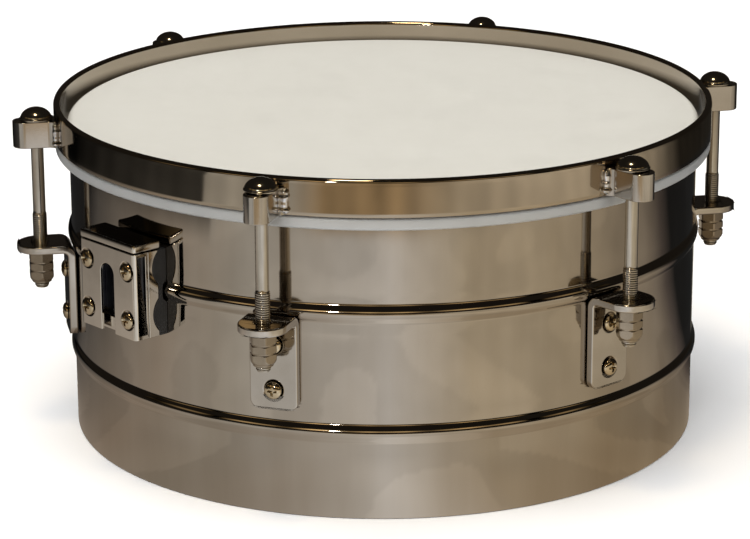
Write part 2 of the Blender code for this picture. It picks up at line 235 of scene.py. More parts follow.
def new_mesh(name, shape):
    points, faces = shape
    mesh = bpy.data.meshes.new(name)
    mesh.from_pydata([(x * MM, y * MM, z * MM) for x, y, z in points], [], faces)
    tidy = bmesh.new()
    tidy.from_mesh(mesh)
    bmesh.ops.recalc_face_normals(tidy, faces=tidy.faces)
    tidy.to_mesh(mesh)
    tidy.free()
    return mesh


def carved(name, shape, cuts=(), adds=()):
    """The mesh of a shape after exact Booleans with other shapes."""
    base = bpy.data.objects.new(name, new_mesh(name, shape))
    bpy.context.scene.collection.objects.link(base)
    helpers = []
    for operation, tools in (("UNION", adds), ("DIFFERENCE", cuts)):
        for tool in tools:
            helper = bpy.data.objects.new("helper", new_mesh("helper", tool))
            bpy.context.scene.collection.objects.link(helper)
            step = base.modifiers.new(operation, "BOOLEAN")
            step.operation = operation
            step.solver = "EXACT"
            step.object = helper
            helpers.append(helper)
    graph = bpy.context.evaluated_depsgraph_get()
    mesh = bpy.data.meshes.new_from_object(base.evaluated_get(graph))
    mesh.name = name
    for obj in [base, *helpers]:
        spent = obj.data
        bpy.data.objects.remove(obj)
        bpy.data.meshes.remove(spent)
    return mesh


def smooth(mesh, sharp_above=35.0):
    mesh.polygons.foreach_set("use_smooth", [True] * len(mesh.polygons))
    mesh.set_sharp_from_angle(angle=math.radians(sharp_above))
    return mesh


def piece(name, mesh, material, body, slot, nodes=(), azimuth=0.0, bevel=0.0):
    """One visible piece on a CAD body. A bevel in mm rounds its edges and keeps its flats flat."""
    if not mesh.materials:
        mesh.materials.append(material)
    made = bpy.data.objects.new(name, mesh)
    bpy.context.scene.collection.objects.link(made)
    made.rotation_euler.z = math.radians(azimuth)
    if bevel:
        rounding = made.modifiers.new("rounded edges", "BEVEL")
        rounding.width = bevel * MM
        rounding.segments = 3
        rounding.limit_method = "ANGLE"
        rounding.angle_limit = math.radians(38.0)
        rounding.use_clamp_overlap = False
        flats = made.modifiers.new("flat faces", "WEIGHTED_NORMAL")
        flats.keep_sharp = False
    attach(made, body)
    if nodes:
        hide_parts(*nodes)
    return made


# ---------------------------------------------------------------- materials

def link(tree, source, target):
    tree.links.new(source, target)


def noise(tree, scale, detail=3.0, stretch=(1.0, 1.0, 1.0), rough=0.5):
    """Noise in the piece's own coordinates, in 1/m, stretched along an axis by a share below 1."""
    place = tree.nodes.new("ShaderNodeTexCoord")
    fit = tree.nodes.new("ShaderNodeMapping")
    fit.inputs["Scale"].default_value = stretch
    link(tree, place.outputs["Object"], fit.inputs["Vector"])
    made = tree.nodes.new("ShaderNodeTexNoise")
    made.inputs["Scale"].default_value = scale
    made.inputs["Detail"].default_value = detail
    made.inputs["Roughness"].default_value = rough
    link(tree, fit.outputs["Vector"], made.inputs["Vector"])
    return made.outputs["Fac"]


def ranged(tree, source, low, high, start=0.3, end=0.7):
    made = tree.nodes.new("ShaderNodeMapRange")
    made.inputs["From Min"].default_value = start
    made.inputs["From Max"].default_value = end
    made.inputs["To Min"].default_value = low
    made.inputs["To Max"].default_value = high
    link(tree, source, made.inputs["Value"])
    return made.outputs["Result"]


def blended(tree, source, first, second):
    made = tree.nodes.new("ShaderNodeMix")
    made.data_type = "RGBA"
    made.inputs[6].default_value = (*first, 1.0)
    made.inputs[7].default_value = (*second, 1.0)
    link(tree, source, made.inputs[0])
    return made.outputs[2]


def bumped(tree, source, distance, normal=None):
    made = tree.nodes.new("ShaderNodeBump")
    made.inputs["Strength"].default_value = 1.0
    made.inputs["Distance"].default_value = distance
    link(tree, source, made.inputs["Height"])
    if normal is not None:
        link(tree, normal, made.inputs["Normal"])
    return made.outputs["Normal"]


def new_material(name, metallic):
    made = bpy.data.materials.new(name)
    made.use_nodes = True
    shader = made.node_tree.nodes["Principled BSDF"]
    shader.inputs["Metallic"].default_value = metallic
    return made, made.node_tree, shader


def plated(name, colour, deeper, gloss, ripple=0.0, grain=0.0, cloud_scale=9.0, upright=1.0):
    """Plated metal: clouds in its colour, smears in its gloss, and a ripple along the wall."""
    made, tree, shader = new_material(name, 1.0)
    clouds = ranged(tree, noise(tree, cloud_scale, 4.0, (1.0, 1.0, upright)), 0.0, 1.0)
    link(tree, blended(tree, clouds, colour, deeper), shader.inputs["Base Color"])
    smears = noise(tree, 30.0, 5.0, (1.0, 1.0, 0.35), 0.65)
    link(tree, ranged(tree, smears, gloss[0], gloss[1]), shader.inputs["Roughness"])
    normal = None
    if ripple:
        normal = bumped(tree, noise(tree, 22.0, 1.5, (1.0, 1.0, 0.25)), ripple)
    if grain:
        normal = bumped(tree, noise(tree, 900.0, 3.0), grain, normal)
    if normal is not None:
        link(tree, normal, shader.inputs["Normal"])
    return made


NICKEL = plated("black_nickel_shell", (0.435, 0.395, 0.345), (0.365, 0.32, 0.265), (0.035, 0.085),
                ripple=0.00009, cloud_scale=30.0, upright=0.12)
HOOP_NICKEL = plated("black_nickel_hoop", (0.47, 0.41, 0.335), (0.37, 0.315, 0.245), (0.04, 0.09),
                     ripple=0.00003)
FITTING = plated("black_nickel_fitting", (0.50, 0.47, 0.43), (0.44, 0.405, 0.36), (0.07, 0.13),
                 grain=0.000004, cloud_scale=60.0)
MOUNT_METAL = plated("black_nickel_mount", (0.68, 0.64, 0.58), (0.58, 0.545, 0.49), (0.06, 0.12),
                     grain=0.000004, cloud_scale=60.0)
ROD_METAL = plated("bright_nickel_rod", (0.50, 0.47, 0.42), (0.42, 0.39, 0.34), (0.10, 0.18),
                   grain=0.000003, cloud_scale=60.0)
NUT_METAL = plated("smoked_nickel_nut", (0.34, 0.29, 0.225), (0.26, 0.22, 0.17), (0.12, 0.22),
                   grain=0.000006, cloud_scale=90.0)
SCREW_METAL = plated("warm_nickel_screw", (0.62, 0.53, 0.38), (0.50, 0.42, 0.29), (0.08, 0.16),
                     grain=0.000003, cloud_scale=90.0)
WELD_METAL = plated("plated_weld", (0.78, 0.79, 0.82), (0.60, 0.60, 0.62), (0.08, 0.18),
                    grain=0.000008, cloud_scale=200.0)
# A near-black copy of the plated nickel for the cap's flat top: painted shade.
SHADED_CAP_NICKEL = plated("shaded_nickel_cap_top", (0.085, 0.078, 0.07), (0.05, 0.045, 0.04), (0.05, 0.12),
                     grain=0.000004, cloud_scale=60.0)
ZINC = plated("zinc_backing", (0.50, 0.50, 0.50), (0.40, 0.41, 0.43), (0.25, 0.40),
              grain=0.00001, cloud_scale=50.0)


def satin_aluminium():
    """Drawn aluminium, brushed round the ring: fine lines of equal height."""
    made, tree, shader = new_material("satin_aluminium_hoop", 0.45)
    clouds = ranged(tree, noise(tree, 14.0, 4.0), 0.0, 1.0)
    metal = blended(tree, clouds, (0.49, 0.50, 0.50), (0.41, 0.42, 0.42))
    link(tree, metal, shader.inputs["Base Color"])
    lines = noise(tree, 60.0, 4.0, (0.12, 0.12, 30.0), 0.7)
    link(tree, ranged(tree, lines, 0.30, 0.44), shader.inputs["Roughness"])
    link(tree, bumped(tree, lines, 0.00003), shader.inputs["Normal"])
    shader.inputs["Anisotropic"].default_value = 0.3
    return made


def coated_film():
    """Film with a fine sprayed coating, a trace of handling, and a dull sheen."""
    made, tree, shader = new_material("coated_film", 0.0)
    handling = ranged(tree, noise(tree, 5.0, 5.0, rough=0.6), 0.0, 1.0)
    coat = blended(tree, handling, (0.545, 0.540, 0.500), (0.525, 0.518, 0.478))
    link(tree, coat, shader.inputs["Base Color"])
    spray = noise(tree, 1400.0, 2.0)
    link(tree, ranged(tree, noise(tree, 40.0, 4.0), 0.52, 0.68), shader.inputs["Roughness"])
    link(tree, bumped(tree, spray, 0.00004), shader.inputs["Normal"])
    shader.inputs["Specular IOR Level"].default_value = 0.35
    return made


def black_rubber():
    made, tree, shader = new_material("moulded_rubber", 0.0)
    bloom = ranged(tree, noise(tree, 120.0, 5.0, rough=0.6), 0.0, 1.0)
    black = blended(tree, bloom, (0.009, 0.009, 0.010), (0.018, 0.018, 0.018))
    link(tree, black, shader.inputs["Base Color"])
    link(tree, ranged(tree, noise(tree, 60.0, 4.0), 0.38, 0.60), shader.inputs["Roughness"])
    link(tree, bumped(tree, noise(tree, 1800.0, 3.0), 0.00003), shader.inputs["Normal"])
    return made


# Near-black plating for the ribs in the mount's pocket: painted shade.
SHADE_INSERT_METAL = plated("painted_shade_insert", (0.055, 0.056, 0.062), (0.03, 0.031, 0.035), (0.14, 0.28),
                grain=0.00001, cloud_scale=90.0)
SLATE = plated("slate_sheet", (0.30, 0.32, 0.36), (0.22, 0.235, 0.27), (0.25, 0.40),
               grain=0.00001, cloud_scale=90.0)
ALUMINIUM = satin_aluminium()
FILM_COAT = coated_film()
RUBBER = black_rubber()


# ---------------------------------------------------------------- the turned pieces

def rolled(share, soft=0.22):
    """Height of a rolled bead, 1 in the middle and blended into the wall at each side."""
    def area(x):
        x = max(-1.0, min(1.0, x))
        return x - x ** 3 / 3.0
    return (area(share + soft) - area(share - soft)) / (2.0 * soft)


def bead(level, radius, height, half, steps=36):
    """Points up one raised bead, a little past both ends of it."""
    made = []
    for i in range(steps + 1):
        share = 1.22 * (2.0 * i / steps - 1.0)
        made.append((radius + height * rolled(share), level + half * share))
    return made


def shell_profile():
    inside = SHELL_R - WALL
    centre = (SHELL_R - BEARING_R, SHELL_TOP - BEARING_R)
    outer = [(FOOT_R, 0.0)] + arc((SHELL_R - 1.2, 1.2), 1.2, -90.0, 0.0, 8)
    for level in BEAD_LEVELS:
        outer += [(SHELL_R, level - 12.0)]
        outer += bead(level, SHELL_R, BEAD_HEIGHT, BEAD_HALF)
        outer += [(SHELL_R, level + 12.0)]
    outer += [(SHELL_R, centre[1] - 6.0)] + arc(centre, BEARING_R, 0.0, 90.0, 12)
    outer += [(LIP_R + 0.3, SHELL_TOP), (LIP_R, SHELL_TOP - 0.3)]
    inner = [(LIP_R, SHELL_TOP - WALL + 0.3), (LIP_R + 0.3, SHELL_TOP - WALL)]
    inner += arc(centre, BEARING_R - WALL, 90.0, 0.0, 8)
    for level in reversed(BEAD_LEVELS):
        inner += reversed(bead(level, inside, BEAD_HEIGHT - 0.1, BEAD_HALF - 0.3, 24))
    inner += arc((inside - 1.4, WALL + 1.4), 1.4, 0.0, -90.0, 6) + [(FOOT_R, WALL)]
    return outer + inner


def film_profile():
    centre = (SHELL_R - BEARING_R, SHELL_TOP - BEARING_R)
    over = FILM_TOP - centre[1]
    under = over - FILM
    profile = [(0.0, FILM_TOP)] + [(r, FILM_TOP) for r in (40.0, 90.0, 140.0, 165.0)]
    profile += arc(centre, over, 90.0, 0.0, 12) + [(centre[0] + over, FILM_SKIRT_END)]
    profile += [(centre[0] + under, FILM_SKIRT_END)] + arc(centre, under, 0.0, 90.0, 12)
    return profile + [(0.0, FILM_TOP - FILM)]


def flesh_hoop_profile():
    inside = SHELL_R + 1.1
    soft = 1.6
    profile = [(inside, FLESH_LOW)] + arc((FLESH_OUT - soft, FLESH_LOW + soft), soft, -90.0, 0.0, 8)
    profile += [(FLESH_OUT, FLESH_LOW + 3.3)]
    profile += arc((FLESH_OUT - soft, FLESH_TOP - soft), soft, 0.0, 90.0, 8) + [(inside, FLESH_TOP)]
    return profile


def counter_hoop_profile():
    """A drawn band with a full round top, a slight waist below it, and softened lower corners."""
    round_r = HOOP_THICK / 2.0
    inside = HOOP_OUT - HOOP_THICK
    middle = (inside + round_r, HOOP_TOP - round_r)
    profile = arc((inside + 0.5, HOOP_LOW + 0.5), 0.5, 180.0, 270.0, 4)
    profile += arc((HOOP_OUT - 0.7, HOOP_LOW + 0.7), 0.7, -90.0, 0.0, 5)
    profile += [(HOOP_OUT, HOOP_LOW + 2.5), (HOOP_OUT, middle[1] - 2.0)]
    profile += arc(middle, round_r, 0.0, 180.0, 20)
    return profile + [(inside, middle[1] - 2.0), (inside, HOOP_LOW + 2.5)]


def add_turned_pieces():
    hoop = "hoop_assembly"
    for name, node, profile, material, body, slot in (
        ("drum_shell", "shell", shell_profile(), NICKEL, "drum", "nickel_steel"),
        ("coated_head", "head_film", film_profile(), FILM_COAT, "drum", "coated_film"),
        ("flesh_ring", "flesh_hoop", flesh_hoop_profile(), ALUMINIUM, hoop, "satin_aluminium"),
        ("counter_rim", "counter_hoop", counter_hoop_profile(), HOOP_NICKEL, hoop, "nickel_steel"),
    ):
        mesh = smooth(new_mesh(name, turned(profile, RING_STEPS)))
        piece(name, mesh, material, body, slot, [node])


# ---------------------------------------------------------------- tuning hardware

def ear_mesh():
    """A cast lug: round outboard end, straight sides, and a foot that sweeps out to the hoop."""
    foot = HOOP_OUT + 0.3
    sweep = []
    for i in range(9):
        share = i / 8.0
        sweep.append((EAR_FOOT_HALF - (EAR_FOOT_HALF - EAR_HALF) * math.sin(share * math.pi / 2.0),
                      foot + EAR_FOOT_LONG * share))
    front = arc((0.0, ROD_CIRCLE + EAR_REACH), EAR_HALF, 0.0, 180.0, 32)
    outline = sweep + front + [(-t, n) for t, n in reversed(sweep)]
    bore = moved(pin(BORE_R, 150.0, 200.0, 40), outward=ROD_CIRCLE)
    return smooth(carved("ear", prism(outline, EAR_LOW, EAR_TOP), cuts=[bore]))


def weld_mesh():
    """Two rippled beads, one down each side of the ear's foot, each ending below in a small pool."""
    beads = []
    low, high = EAR_LOW + 0.9, EAR_TOP - 0.8
    rows = 72
    for side in (-1.0, 1.0):
        rings = []
        for k in range(rows + 1):
            share = k / rows
            level = low + (high - low) * share
            ripple = math.sin(share * math.pi * 5.0 + side) * math.sin(share * math.pi * 2.3)
            pool = math.exp(-((share - 0.14) / 0.10) ** 2)
            ends = math.sqrt(max(0.0, 1.0 - (2.0 * share - 1.0) ** 6)) + 0.05
            radius = (1.95 + 0.25 * ripple + 0.65 * pool) * ends
            wander = 0.25 * math.sin(share * 9.0 + side)
            middle = (side * (EAR_FOOT_HALF - 0.2 + wander), HOOP_OUT + 0.8)
            ring = []
            for i in range(18):
                turn = math.tau * i / 18
                along = middle[0] + radius * math.cos(turn)
                ring.append((along, -(middle[1] + 0.9 * radius * math.sin(turn)), level))
            rings.append(ring)
        beads.append(stacked(rings))
    return smooth(new_mesh("ear_weld", joined(*beads)), 70.0)


def rod_mesh():
    """A dome-headed bolt with its rolled thread."""
    steps = 36
    under = EAR_TOP + 0.3
    dome_low = under + 1.3
    dome_high = DOME_TOP - dome_low
    profile = []
    for i in range(1, 15):
        angle = math.radians(90.0 * i / 14)
        level = dome_low + dome_high * math.cos(angle) ** 1.15
        profile.append(((DOME_R - 0.55) * math.sin(angle), level))
    profile += [(DOME_R - 0.2, dome_low - 0.1), (DOME_R, dome_low - 0.45), (DOME_R, under + 0.35)]
    profile += [(DOME_R - 0.3, under), (ROD_SHANK + 0.4, under), (ROD_SHANK, under - 0.4)]
    profile += [(ROD_SHANK, THREAD_TOP + 4.0), (ROD_SHANK, THREAD_TOP + 1.0)]
    around = [(math.sin(math.tau * i / steps), -math.cos(math.tau * i / steps)) for i in range(steps)]
    rings = [[(r * x, r * y, z) for x, y in around] for r, z in profile]
    rows = round((THREAD_TOP - ROD_END) / PITCH * 8)
    for k in range(rows + 1):
        level = THREAD_TOP - (THREAD_TOP - ROD_END) * k / rows
        start = min(1.0, (THREAD_TOP - level) / PITCH)
        end = min(1.0, (level - ROD_END) / PITCH)
        ring = []
        for i, (x, y) in enumerate(around):
            phase = (level / PITCH + i / steps) % 1.0
            crest = min(1.0, 2.2 * abs(2.0 * phase - 1.0))
            radius = ROD_ROOT + (ROD_THREAD - ROD_ROOT) * crest * end
            radius = ROD_SHANK + (radius - ROD_SHANK) * start
            ring.append((radius * x, radius * y, level))
        rings.append(ring)
    return smooth(new_mesh("rod", moved(stacked(rings), outward=ROD_CIRCLE)), 60.0)


def nut_mesh():
    """A long hexagon nut: two grooves round its corners, a tapered lower end, and a round collar."""
    steps = 96
    turned_limit = [(NUT_LOW, 5.2), (NUT_LOW + 0.3, 5.5), (NUT_LOW + 1.2, 5.55)]
    turned_limit += [(NUT_LOW + 1.21, 5.9), (NUT_LOW + 2.4, 6.75), (NUT_LOW + 3.9, NUT_CORNER)]
    for groove in NUT_GROOVE_LEVELS:
        turned_limit += [(groove - 0.75, NUT_CORNER), (groove - 0.35, NUT_GROOVE - 0.35)]
        turned_limit += [(groove + 0.35, NUT_GROOVE - 0.35), (groove + 0.75, NUT_CORNER)]
    turned_limit += [(NUT_TOP - 0.9, NUT_CORNER), (NUT_TOP, NUT_FLAT)]
    levels = []
    for (low, first), (high, second) in zip(turned_limit, turned_limit[1:]):
        for k in range(4):
            levels.append((low + (high - low) * k / 4.0, first + (second - first) * k / 4.0))
    levels.append(turned_limit[-1])
    rings = []
    for level, limit in levels:
        ring = []
        for i in range(steps):
            turn = math.tau * i / steps
            flat = NUT_FLAT / math.cos((turn + math.pi / 6.0) % (math.pi / 3.0) - math.pi / 6.0)
            radius = min(flat, limit)
            ring.append((radius * math.sin(turn), -radius * math.cos(turn), level))
        rings.append(ring)
    return smooth(new_mesh("nut", moved(stacked(rings), outward=ROD_CIRCLE)), 22.0)


def bracket_path():
    """Stations down the strip: outer point, inner point (outward, height) and half width."""
    stations = []
    for i in range(1, 25):
        turn = math.radians(90.0 * i / 24)
        reach = ROD_CIRCLE + BRACKET_HALF * math.cos(turn)
        stations.append(((reach, TAB_TOP), (reach, TAB_TOP - PLATE), BRACKET_HALF * math.sin(turn)))
    centre = (LEG_IN + BEND_OUT, TAB_TOP - BEND_OUT)
    outer = arc(centre, BEND_OUT, 90.0, 180.0, 16)
    inner = arc(centre, BEND_OUT - PLATE, 90.0, 180.0, 16)
    stations += [(first, second, BRACKET_HALF) for first, second in zip(outer, inner)]
    for i in range(13):
        turn = math.radians(90.0 * i / 12)
        level = LEG_END + LEG_CORNER * (1.0 - math.sin(turn))
        half = BRACKET_HALF - LEG_CORNER * (1.0 - math.cos(turn))
        stations.append(((LEG_IN, level), (LEG_OUT, level), half))
    return stations


def bracket_mesh():
    rings = []
    for outer, inner, half in bracket_path():
        corners = [(-half, outer), (half, outer), (half, inner), (-half, inner)]
        rings.append([(t, -n, z) for t, (n, z) in corners])
    cuts = [moved(pin(TAB_BORE_R, 100.0, 120.0, 40), outward=ROD_CIRCLE)]
    for _, level in SCREW_LEVELS:
        sink = [(0.0, LEG_OUT + 1.0), (6.6, LEG_OUT + 1.0), (3.0, LEG_OUT - 2.6), (3.0, LEG_IN - 2.0)]
        cuts.append(laid_outward(turned(sink + [(0.0, LEG_IN - 2.0)], 40), 0.0, level))
    return smooth(carved("bracket", stacked(rings), cuts=cuts))


def cross_recess(top, reach, half, depth):
    """The tapered cross of a Phillips driver, pointing down Z."""
    arms = []
    for turn in (0.0, math.pi / 2.0):
        cosine, sine = math.cos(turn), math.sin(turn)
        rings = []
        for level, share in ((top + 1.0, 1.15), (top - depth, 0.45)):
            x, y = reach * share, half * (0.4 + 0.6 * share)
            corners = ((-x, -y), (x, -y), (x, y), (-x, y))
            rings.append([(a * cosine - b * sine, a * sine + b * cosine, level) for a, b in corners])
        arms.append(stacked(rings))
    return arms


def oval_screw(seat, tip, head, high):
    """A raised-head screw with a countersunk underside and a cross recess."""
    profile = [(0.0, seat + high)]
    for i in range(1, 11):
        angle = math.radians(9.0 * i)
        profile.append((head * math.sin(angle), seat + 0.3 + (high - 0.3) * math.cos(angle)))
    profile += [(head, seat + 0.1), (2.5, seat - 2.2), (2.5, tip), (0.0, tip)]
    return carved("screw", turned(profile, 48), cuts=cross_recess(seat + high, 0.72 * head, 0.8, 1.8))


def outward_copy(mesh, along, level):
    """A copy of a mesh drawn along Z, laid so that it points out of the wall at this place."""
    made = mesh.copy()
    made.transform(Matrix(((1, 0, 0, along * MM), (0, 0, -1, 0), (0, 1, 0, level * MM), (0, 0, 0, 1))))
    return smooth(made, 40.0)


def backing_mesh(half, low, high, levels):
    corners = []
    for side, up, start in ((1, 1, 0), (-1, 1, 90), (-1, -1, 180), (1, -1, 270)):
        centre = (side * (half - 3.0), (high if up > 0 else low) - up * 3.0)
        corners += arc(centre, 3.0, start, start + 90, 6)
    holes = [laid_outward(pin(3.0, 160.0, 190.0, 32), 0.0, level) for _, level in levels]
    return smooth(carved("backing", plate(corners, BACKING_IN, BACKING_OUT), cuts=holes))


def add_tuning_hardware():
    ear, weld, rod, nut, bracket = ear_mesh(), weld_mesh(), rod_mesh(), nut_mesh(), bracket_mesh()
    backing = backing_mesh(10.0, 61.0, 106.5, SCREW_LEVELS)
    screw = oval_screw(LEG_OUT + 0.3, BACKING_IN - 1.0, SCREW_HEAD, 2.6)
    screws = {place: outward_copy(screw, 0.0, level) for place, level in SCREW_LEVELS}
    for number, azimuth in LUGS:
        on_hoop = {"body": "hoop_assembly", "azimuth": azimuth}
        on_drum = {"body": "drum", "azimuth": azimuth}
        on_nut = {"body": f"nut_{number}", "azimuth": azimuth}
        piece(f"lug_ear_{number}", ear, FITTING,
              slot="nickel_steel", nodes=[f"ear_{number}"], bevel=0.55, **on_hoop)
        piece(f"ear_weld_{number}", weld, WELD_METAL, slot="nickel_steel", **on_hoop)
        piece(f"bolt_{number}", rod, ROD_METAL,
              slot="fastener_steel", nodes=[f"tension_rod_{number}"], **on_hoop)
        piece(f"nut_body_{number}", nut, NUT_METAL,
              slot="nut_steel", nodes=[f"tuning_nut_{number}"], **on_nut)
        piece(f"lug_bracket_{number}", bracket, FITTING,
              slot="nickel_steel", nodes=[f"bracket_{number}"], bevel=0.9, **on_drum)
        piece(f"inner_plate_{number}", backing, ZINC,
              slot="zinc_steel", nodes=[f"backing_plate_{number}"], bevel=0.3, **on_drum)
        for place, mesh in screws.items():
            piece(f"leg_screw_{number}_{place}", mesh, SCREW_METAL,
                  slot="fastener_steel", nodes=[f"bracket_screw_{number}_{place}"], **on_drum)


# ---------------------------------------------------------------- the stand mount

def pad_mesh():
    """The rubber pad, with a half-round bump at each bolt, hollowed to sit on the wall and its bead."""
    reach = math.degrees(math.acos((PAD_FRONT - BUMP_N) / BUMP_R))
    outline = [(SHELL_R - 8.0, MOUNT_LOW), (PAD_FRONT, MOUNT_LOW)]
    for _, level in MOUNT_BOLTS:
        outline += arc((BUMP_N, level), BUMP_R, -reach, reach, 20)
    outline += [(PAD_FRONT, MOUNT_TOP), (SHELL_R - 8.0, MOUNT_TOP)]
    level = BEAD_LEVELS[1]
    near, far = SHELL_R + 0.03, SHELL_R + BEAD_HEIGHT + 0.6
    wall = [(0.0, 80.0), (near, 80.0)]
    wall += [(near, level - 6.0), (far - 0.5, level - 4.0), (far, level - 2.0)]
    wall += [(far, level + 2.0), (far - 0.5, level + 4.0), (near, level + 6.0)]
    wall += [(near, 150.0), (0.0, 150.0)]
    return smooth(carved("pad", across(outline, PAD_HALF), cuts=[turned(wall, RING_STEPS)]))


def carrier_mesh():
    """The block behind the front plate, hollowed for the pad's bumps, with a ledge below the slot."""
    outline = [(MOUNT_HALF, CARRIER_BACK), (MOUNT_HALF, CARRIER_FRONT), (-MOUNT_HALF, CARRIER_FRONT)]
    outline.append((-MOUNT_HALF, CARRIER_BACK))
    ledge = block(RIB_IN - 0.1, CARRIER_FRONT - 1.0, FACE_BACK - 2.2, MOUNT_LOW + 0.02, MOUNT_LOW + 7.5)
    hollows = []
    for _, level in MOUNT_BOLTS:
        hollows.append(across(arc((BUMP_N, level), BUMP_R + 0.3, 0.0, 355.0, 71), 40.0))
    return smooth(carved("carrier", prism(outline, MOUNT_LOW, MOUNT_TOP), cuts=hollows, adds=[ledge]))


def insert_mesh():
    """The filling between plate and block, near-black as painted shade: two ribs, hollow on the side
    towards the windows.
    """
    ribs = []
    for side in (-1.0, 1.0):
        near, far = CARRIER_FRONT + 0.1, FACE_BACK - 0.1
        outline = [(RIB_IN, near), (RIB_IN, far), (RIB_OUT + 1.2, far)]
        outline += arc((RIB_OUT + 5.2, (CARRIER_FRONT + FACE_BACK) / 2.0), 5.6, 140.0, 220.0, 10)
        outline.append((RIB_OUT + 1.2, near))
        ribs.append(prism([(side * t, n) for t, n in outline], MOUNT_LOW + 0.3, MOUNT_TOP - 0.3))
    return smooth(new_mesh("insert", joined(*ribs)))


def sheet_mesh():
    """The slate sheet across the back of the pocket, seen through the slot."""
    near = CARRIER_FRONT + 0.1
    return new_mesh("sheet", block(RIB_IN - 0.2, near, near + 1.1, MOUNT_LOW + 7.7, MOUNT_TOP - 0.3))


def face_mesh():
    """The front plate with its side walls folded back: slot, side windows and countersunk holes."""
    soft = 2.3
    inner = MOUNT_HALF - SIDE_WALL
    near = CARRIER_FRONT + 0.3
    outline = [(inner, near), (MOUNT_HALF, near)]
    outline += arc((MOUNT_HALF - soft, FACE_FRONT - soft), soft, 0.0, 90.0, 6)
    outline += arc((soft - MOUNT_HALF, FACE_FRONT - soft), soft, 90.0, 180.0, 6)
    outline += [(-MOUNT_HALF, near), (-inner, near), (-inner, FACE_BACK), (inner, FACE_BACK)]
    slot = [(SLOT_HALF, MOUNT_LOW - 5.0)] + arc((0.0, SLOT_TOP - SLOT_HALF), SLOT_HALF, 0.0, 180.0, 24)
    slot.append((-SLOT_HALF, MOUNT_LOW - 5.0))
    cuts = [plate(slot, FACE_BACK - 2.0, FACE_FRONT + 2.0)]
    cuts.append(block(MOUNT_HALF + 5.0, WINDOW_NEAR, FACE_BACK - 0.6, WINDOW_LOW, WINDOW_HIGH))
    sink = [(0.0, FACE_FRONT + 1.0), (6.6, FACE_FRONT + 1.0), (3.9, FACE_FRONT - 1.7)]
    sink += [(3.9, 194.0), (0.0, 194.0)]
    for _, along in FACE_SCREWS:
        for _, level in FACE_SCREW_LEVELS:
            cuts.append(laid_outward(turned(sink, 40), along, level))
    return smooth(carved("face", prism(outline, MOUNT_LOW, MOUNT_TOP), cuts=cuts))


def cap_mesh():
    """The cap, whose flat top takes a second, darker copy of its metal as painted shade."""
    soft = 2.0
    outline = [(-MOUNT_HALF, CAP_BACK), (MOUNT_HALF, CAP_BACK)]
    outline += arc((MOUNT_HALF - soft, FACE_FRONT - soft), soft, 0.0, 90.0, 6)
    outline += arc((soft - MOUNT_HALF, FACE_FRONT - soft), soft, 90.0, 180.0, 6)
    mesh = new_mesh("cap", prism(outline, CAP_LOW, CAP_TOP))
    for material in (MOUNT_METAL, SHADED_CAP_NICKEL):
        mesh.materials.append(material)
    # Faces that point up take the darker copy: painted shade on the top.
    for face in mesh.polygons:
        face.material_index = 1 if face.normal.z > 0.9 else 0
    return smooth(mesh)


def bolt_mesh(level):
    """A hexagon-headed bolt put through from inside the drum."""
    seat = BACKING_IN - 0.3
    corners = [(math.sin(math.tau * i / 6), -math.cos(math.tau * i / 6)) for i in range(6)]
    rings = ((5.0, seat), (5.0, seat - 2.9), (4.4, seat - 3.5))
    hexagon = stacked([[(r * x, r * y, z) for x, y in corners] for r, z in rings])
    head = laid_outward(hexagon, 0.0, level)
    shank = laid_outward(pin(2.5, seat - 1.0, CARRIER_FRONT - 0.2, 32), 0.0, level)
    return smooth(carved("mount_bolt", head, adds=[shank]))


def add_stand_mount():
    here = {"body": "drum", "azimuth": MOUNT_AZIMUTH}
    piece("mount_rubber_pad", pad_mesh(), RUBBER,
          slot="black_rubber", nodes=["mount_pad"], bevel=0.4, **here)
    piece("mount_carrier_block", carrier_mesh(), MOUNT_METAL,
          slot="nickel_steel", nodes=["mount_carrier"], bevel=0.35, **here)
    # Its near-black ribs are painted shade inside the pocket.
    piece("mount_shade_insert", insert_mesh(), SHADE_INSERT_METAL, slot="black_rubber", **here)
    piece("mount_sheet", sheet_mesh(), SLATE, slot="black_rubber", **here)
    piece("mount_face_plate", face_mesh(), MOUNT_METAL,
          slot="nickel_steel", nodes=["mount_face"], bevel=0.35, **here)
    piece("mount_top_cap", cap_mesh(), MOUNT_METAL,
          slot="nickel_steel", nodes=["mount_cap"], bevel=1.1, **here)
    piece("mount_inner_plate", backing_mesh(10.0, 92.0, 138.0, MOUNT_BOLTS), ZINC,
          slot="zinc_steel", nodes=["mount_backing_plate"], bevel=0.3, **here)
    for place, level in MOUNT_BOLTS:
        piece(f"hex_bolt_{place}", bolt_mesh(level), SCREW_METAL, slot="fastener_steel",
              nodes=[f"mount_bolt_{place}"], **here)
    screw = oval_screw(FACE_FRONT + 0.3, 190.0, SCREW_HEAD, 2.0)
    for side, along in FACE_SCREWS:
        for place, level in FACE_SCREW_LEVELS:
            piece(f"plate_screw_{side}_{place}", outward_copy(screw, along, level), SCREW_METAL,
                  slot="fastener_steel", nodes=[f"face_screw_{side}_{place}"], **here)


# ---------------------------------------------------------------- camera, floor and light

def add_camera():
    data = bpy.data.cameras.new("camera")
    data.sensor_width = 36.0
    data.lens = 146.79
    data.shift_x = -0.01108
    data.shift_y = 0.00772
    data.clip_start = 0.01
    made = bpy.data.objects.new("camera", data)
    made.location = (0.10174, -1.68267, 0.60653)
    made.rotation_euler = [math.radians(angle) for angle in (72.654, 0.162, 3.409)]
    bpy.context.scene.collection.objects.link(made)
    bpy.context.scene.camera = made


def stage_object(name, mesh, material):
    made = bpy.data.objects.new(name, mesh)
    mesh.materials.append(material)
    bpy.context.scene.collection.objects.link(made)
    return made


